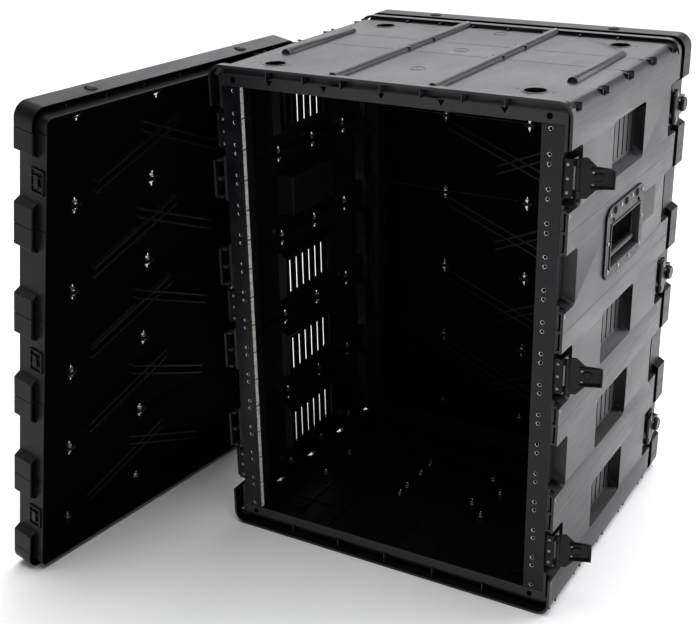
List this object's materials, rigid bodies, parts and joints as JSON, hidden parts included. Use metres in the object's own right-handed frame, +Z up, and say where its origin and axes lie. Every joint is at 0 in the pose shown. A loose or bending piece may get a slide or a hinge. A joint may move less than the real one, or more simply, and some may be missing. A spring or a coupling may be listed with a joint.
{
  "type": "equipment rack case",
  "caption": "Modular moulded equipment rack case on its base with rack rails, over-edge latches, recessed handles, a rear lid in place and the front lid leaning at its side.",
  "frame": {"origin": "centre of the case footprint on its underside", "axes": "+X to the case right, +Y to its rear, +Z up"},
  "size_m": [0.8002, 0.7604, 0.7308],
  "materials": {
    "moulded_case": "satin black injection-moulded plastic",
    "moulded_lid": "satin black injection-moulded plastic",
    "black_steel": "glossy black paint on pressed steel",
    "scale_strip": "pale printed strip"
  },
  "bodies": {
    "case": {"top_panel": "moulded_case", "bottom_panel": "moulded_case", "side_right_1": "moulded_case", "side_right_2": "moulded_case", "side_right_3": "moulded_case", "side_right_4": "moulded_case", "side_right_5": "moulded_case", "side_left_1": "moulded_case", "side_left_2": "moulded_case", "side_left_3": "moulded_case", "side_left_4": "moulded_case", "side_left_5": "moulded_case", "rail_front_right": "black_steel", "rail_front_left": "black_steel", "rail_rear_right": "black_steel", "rail_rear_left": "black_steel", "rack_unit_scale": "scale_strip", "handle_plate_right": "black_steel", "handle_plate_left": "black_steel", "latch_base_front_right_1": "black_steel", "latch_base_front_right_3": "black_steel", "latch_base_front_right_5": "black_steel", "latch_base_front_left_1": "black_steel", "latch_base_front_left_3": "black_steel", "latch_base_front_left_5": "black_steel", "latch_base_rear_right_1": "black_steel", "latch_base_rear_right_3": "black_steel", "latch_base_rear_right_5": "black_steel", "latch_base_rear_left_1": "black_steel", "latch_base_rear_left_3": "black_steel", "latch_base_rear_left_5": "black_steel"},
    "front_lid": {"front_lid_top_cap": "moulded_lid", "front_lid_bottom_cap": "moulded_lid", "front_lid_panel_1": "moulded_lid", "front_lid_panel_2": "moulded_lid", "front_lid_panel_3": "moulded_lid", "front_lid_panel_4": "moulded_lid", "front_lid_panel_5": "moulded_lid"},
    "rear_lid": {"rear_lid_top_cap": "moulded_lid", "rear_lid_bottom_cap": "moulded_lid", "rear_lid_panel_1": "moulded_lid", "rear_lid_panel_2": "moulded_lid", "rear_lid_panel_3": "moulded_lid", "rear_lid_panel_4": "moulded_lid", "rear_lid_panel_5": "moulded_lid"},
    "lever_front_right_1": {"latch_lever_front_right_1": "black_steel"},
    "lever_front_right_3": {"latch_lever_front_right_3": "black_steel"},
    "lever_front_right_5": {"latch_lever_front_right_5": "black_steel"},
    "lever_front_left_1": {"latch_lever_front_left_1": "black_steel"},
    "lever_front_left_3": {"latch_lever_front_left_3": "black_steel"},
    "lever_front_left_5": {"latch_lever_front_left_5": "black_steel"},
    "lever_rear_right_1": {"latch_lever_rear_right_1": "black_steel"},
    "lever_rear_right_3": {"latch_lever_rear_right_3": "black_steel"},
    "lever_rear_right_5": {"latch_lever_rear_right_5": "black_steel"},
    "lever_rear_left_1": {"latch_lever_rear_left_1": "black_steel"},
    "lever_rear_left_3": {"latch_lever_rear_left_3": "black_steel"},
    "lever_rear_left_5": {"latch_lever_rear_left_5": "black_steel"},
    "bail_right": {"handle_bail_right": "black_steel"},
    "bail_left": {"handle_bail_left": "black_steel"}
  },
  "joints": [
    {"name": "front_lid_lift", "type": "slide", "parent": "case", "child": "front_lid", "axis": [0, 0, 1], "range_m": [0, 0.3]},
    {"name": "rear_lid_pull", "type": "slide", "parent": "case", "child": "rear_lid", "axis": [0, 1, 0], "range_m": [0, 0.25]},
    {"name": "latch_hinge_front_right_1", "type": "hinge", "parent": "case", "child": "lever_front_right_1", "pos_m": [0.266, -0.197, 0.63108], "axis": [0, 0, 1], "range_deg": [-111, 39]},
    {"name": "latch_hinge_front_right_3", "type": "hinge", "parent": "case", "child": "lever_front_right_3", "pos_m": [0.266, -0.197, 0.36438], "axis": [0, 0, 1], "range_deg": [-111, 39]},
    {"name": "latch_hinge_front_right_5", "type": "hinge", "parent": "case", "child": "lever_front_right_5", "pos_m": [0.266, -0.197, 0.09767], "axis": [0, 0, 1], "range_deg": [-111, 39]},
    {"name": "latch_hinge_front_left_1", "type": "hinge", "parent": "case", "child": "lever_front_left_1", "pos_m": [-0.266, -0.197, 0.63108], "axis": [0, 0, -1], "range_deg": [-150, 0]},
    {"name": "latch_hinge_front_left_3", "type": "hinge", "parent": "case", "child": "lever_front_left_3", "pos_m": [-0.266, -0.197, 0.36438], "axis": [0, 0, -1], "range_deg": [-150, 0]},
    {"name": "latch_hinge_front_left_5", "type": "hinge", "parent": "case", "child": "lever_front_left_5", "pos_m": [-0.266, -0.197, 0.09767], "axis": [0, 0, -1], "range_deg": [-150, 0]},
    {"name": "latch_hinge_rear_right_1", "type": "hinge", "parent": "case", "child": "lever_rear_right_1", "pos_m": [0.266, 0.197, 0.63108], "axis": [0, 0, -1], "range_deg": [0, 150]},
    {"name": "latch_hinge_rear_right_3", "type": "hinge", "parent": "case", "child": "lever_rear_right_3", "pos_m": [0.266, 0.197, 0.36438], "axis": [0, 0, -1], "range_deg": [0, 150]},
    {"name": "latch_hinge_rear_right_5", "type": "hinge", "parent": "case", "child": "lever_rear_right_5", "pos_m": [0.266, 0.197, 0.09767], "axis": [0, 0, -1], "range_deg": [0, 150]},
    {"name": "latch_hinge_rear_left_1", "type": "hinge", "parent": "case", "child": "lever_rear_left_1", "pos_m": [-0.266, 0.197, 0.63108], "axis": [0, 0, 1], "range_deg": [0, 150]},
    {"name": "latch_hinge_rear_left_3", "type": "hinge", "parent": "case", "child": "lever_rear_left_3", "pos_m": [-0.266, 0.197, 0.36438], "axis": [0, 0, 1], "range_deg": [0, 150]},
    {"name": "latch_hinge_rear_left_5", "type": "hinge", "parent": "case", "child": "lever_rear_left_5", "pos_m": [-0.266, 0.197, 0.09767], "axis": [0, 0, 1], "range_deg": [0, 150]},
    {"name": "bail_hinge_right", "type": "hinge", "parent": "case", "child": "bail_right", "pos_m": [0.258, 0, 0.51972], "axis": [0, -1, 0], "range_deg": [0, 90]},
    {"name": "bail_hinge_left", "type": "hinge", "parent": "case", "child": "bail_left", "pos_m": [-0.258, 0, 0.51972], "axis": [0, 1, 0], "range_deg": [0, 65]}
  ]
}
